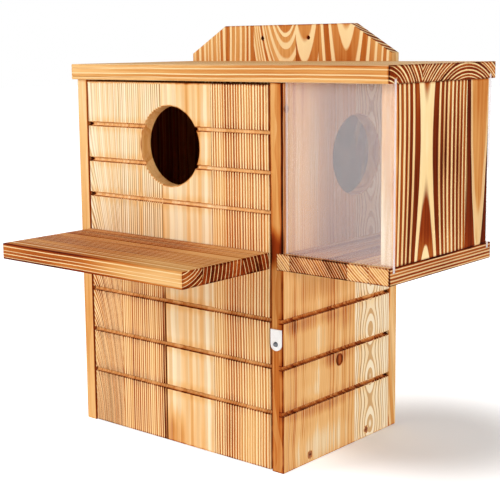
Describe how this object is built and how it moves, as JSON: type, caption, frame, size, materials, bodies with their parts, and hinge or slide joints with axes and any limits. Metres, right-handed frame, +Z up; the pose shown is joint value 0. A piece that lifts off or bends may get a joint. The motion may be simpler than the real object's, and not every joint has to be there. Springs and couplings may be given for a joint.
{
  "type": "squirrel feeder box",
  "caption": "Wooden nest box with a round entrance in its top-hinged front door, a landing platform, a windowed feeder bin on the right side, a latch plate and a back plate for hanging.",
  "frame": {"origin": "middle of the nest box's footprint, 260 mm wide and 183 mm deep, on its underside", "axes": "+Z up, -Y out of the front door, +X towards the feeder bin, +Y into the wall that the box hangs on"},
  "size_m": [0.375, 0.295, 0.402],
  "materials": {
    "torched_fir": "scorched and oiled softwood",
    "clear_acrylic": "clear, slightly hazy",
    "plated_steel": "zinc plated",
    "bronzed_steel": "bronze coated"
  },
  "bodies": {
    "box": {"left_side_panel": "torched_fir", "right_side_panel": "torched_fir", "back_panel": "torched_fir", "nest_floor": "torched_fir", "roof_board": "torched_fir", "feeder_floor": "torched_fir", "feeder_outer_wall": "torched_fir", "latch_screw": "plated_steel", "latch_washer": "plated_steel", "door_pivot_left": "bronzed_steel", "door_pivot_right": "bronzed_steel", "roof_screws": "bronzed_steel", "back_screws": "bronzed_steel", "floor_screws": "bronzed_steel", "feeder_floor_screws": "bronzed_steel", "feeder_wall_screws": "bronzed_steel"},
    "door": {"front_door": "torched_fir", "landing_platform": "torched_fir", "platform_screws": "bronzed_steel"},
    "latch": {"latch_plate": "plated_steel"},
    "front_pane": {"front_window": "clear_acrylic"},
    "rear_pane": {"rear_window": "clear_acrylic"}
  },
  "joints": [
    {"name": "door_hinge", "type": "hinge", "parent": "box", "child": "door", "pos_m": [0, -0.085, 0.327], "axis": [-1, 0, 0], "range_deg": [0, 135]},
    {"name": "latch_turn", "type": "hinge", "parent": "box", "child": "latch", "pos_m": [0.1235, -0.0925, 0.1195], "axis": [0, -1, 0], "continuous": true},
    {"name": "front_window_slide", "type": "slide", "parent": "box", "child": "front_pane", "axis": [1, 0, 0], "range_m": [0, 0.112]},
    {"name": "rear_window_slide", "type": "slide", "parent": "box", "child": "rear_pane", "axis": [1, 0, 0], "range_m": [0, 0.112]}
  ]
}
